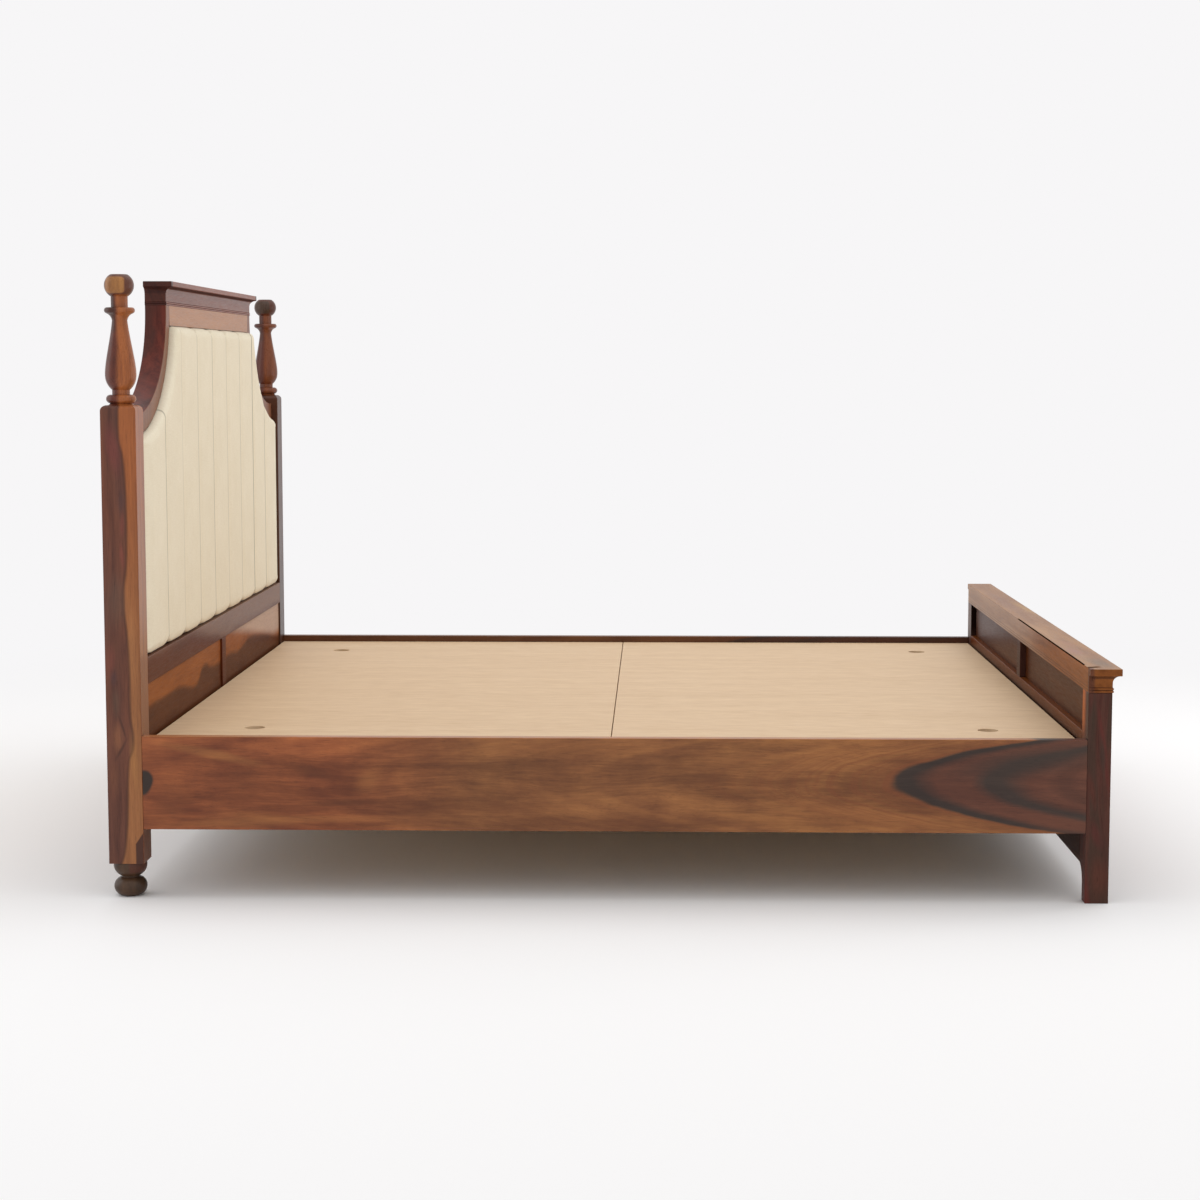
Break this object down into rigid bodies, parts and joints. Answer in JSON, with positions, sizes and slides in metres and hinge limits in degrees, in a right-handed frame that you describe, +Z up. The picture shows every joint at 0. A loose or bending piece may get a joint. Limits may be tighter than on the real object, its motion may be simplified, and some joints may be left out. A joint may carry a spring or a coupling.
{
  "type": "wooden bed frame",
  "caption": "King-size platform bed in figured hardwood: arched headboard with a channelled fabric pad, turned finials and feet, low moulded footboard, lift-out plywood deck panels.",
  "frame": {"origin": "on the floor, under the middle of the whole bed", "axes": "+X along the bed towards the footboard, +Y across it towards the right side as seen from the foot, +Z up"},
  "size_m": [2.142, 1.944, 1.3245],
  "materials": {
    "post_wood": "satin lacquer",
    "finial_wood": "satin lacquer",
    "ball_foot_wood": "satin lacquer",
    "wing_wood": "satin lacquer",
    "frieze_wood": "satin lacquer",
    "crown_wood": "satin lacquer",
    "pad_fabric": "matt weave",
    "middle_rail_wood": "satin lacquer",
    "headboard_panel_wood": "satin lacquer",
    "headboard_rail_wood": "satin lacquer",
    "foot_post_wood": "satin lacquer",
    "footboard_panel_wood": "satin lacquer",
    "footboard_rail_wood": "satin lacquer",
    "footboard_cap_wood": "satin lacquer",
    "side_rail_wood": "satin lacquer",
    "deck_plywood": "raw, sanded",
    "backing_plywood": "raw",
    "plain_timber": "raw",
    "zinc_steel": "zinc plated",
    "glide_plastic": "matt"
  },
  "bodies": {
    "bed_frame": {"ball_foot_left": "ball_foot_wood", "ball_foot_right": "ball_foot_wood", "beam_hanger_foot": "zinc_steel", "beam_hanger_head": "zinc_steel", "bracket_bolts": "zinc_steel", "bracket_screws": "zinc_steel", "centre_beam": "plain_timber", "centre_leg_1": "plain_timber", "centre_leg_2": "plain_timber", "centre_leg_3": "plain_timber", "cross_bearer_1": "plain_timber", "cross_bearer_2": "plain_timber", "cross_bearer_3": "plain_timber", "cross_bearer_4": "plain_timber", "cross_bearer_5": "plain_timber", "cross_bearer_6": "plain_timber", "cross_bearer_7": "plain_timber", "crown_beads": "crown_wood", "crown_cap": "crown_wood", "crown_cove": "crown_wood", "finial_left": "finial_wood", "finial_right": "finial_wood", "foot_post_left": "foot_post_wood", "foot_post_right": "foot_post_wood", "footboard_beads": "footboard_cap_wood", "footboard_bottom_rail": "footboard_rail_wood", "footboard_cap": "footboard_cap_wood", "footboard_cove": "footboard_cap_wood", "footboard_panel_left": "footboard_panel_wood", "footboard_panel_right": "footboard_panel_wood", "footboard_stile": "footboard_rail_wood", "footboard_top_rail": "footboard_cap_wood", "hanger_screws": "zinc_steel", "head_post_left": "post_wood", "head_post_right": "post_wood", "headboard_bottom_rail": "headboard_rail_wood", "headboard_frieze_rail": "frieze_wood", "headboard_middle_rail": "middle_rail_wood", "headboard_panel_left": "headboard_panel_wood", "headboard_panel_right": "headboard_panel_wood", "headboard_stile": "headboard_rail_wood", "headboard_wing_left": "wing_wood", "headboard_wing_right": "wing_wood", "ledger_left": "plain_timber", "ledger_right": "plain_timber", "leg_glides": "glide_plastic", "pad_batten_lower": "plain_timber", "pad_batten_upper": "plain_timber", "pad_board": "backing_plywood", "pad_screws": "zinc_steel", "rail_bracket_foot_left": "zinc_steel", "rail_bracket_foot_right": "zinc_steel", "rail_bracket_head_left": "zinc_steel", "rail_bracket_head_right": "zinc_steel", "side_rail_left": "side_rail_wood", "side_rail_right": "side_rail_wood", "upholstered_pad": "pad_fabric", "wood_screws": "zinc_steel"},
    "head_deck": {"deck_panel_head": "deck_plywood"},
    "foot_deck": {"deck_panel_foot": "deck_plywood"}
  },
  "joints": [
    {"name": "head_deck_lift", "type": "slide", "parent": "bed_frame", "child": "head_deck", "axis": [0, 0, 1], "range_m": [0, 0.3]},
    {"name": "foot_deck_lift", "type": "slide", "parent": "bed_frame", "child": "foot_deck", "axis": [0, 0, 1], "range_m": [0, 0.3]}
  ]
}
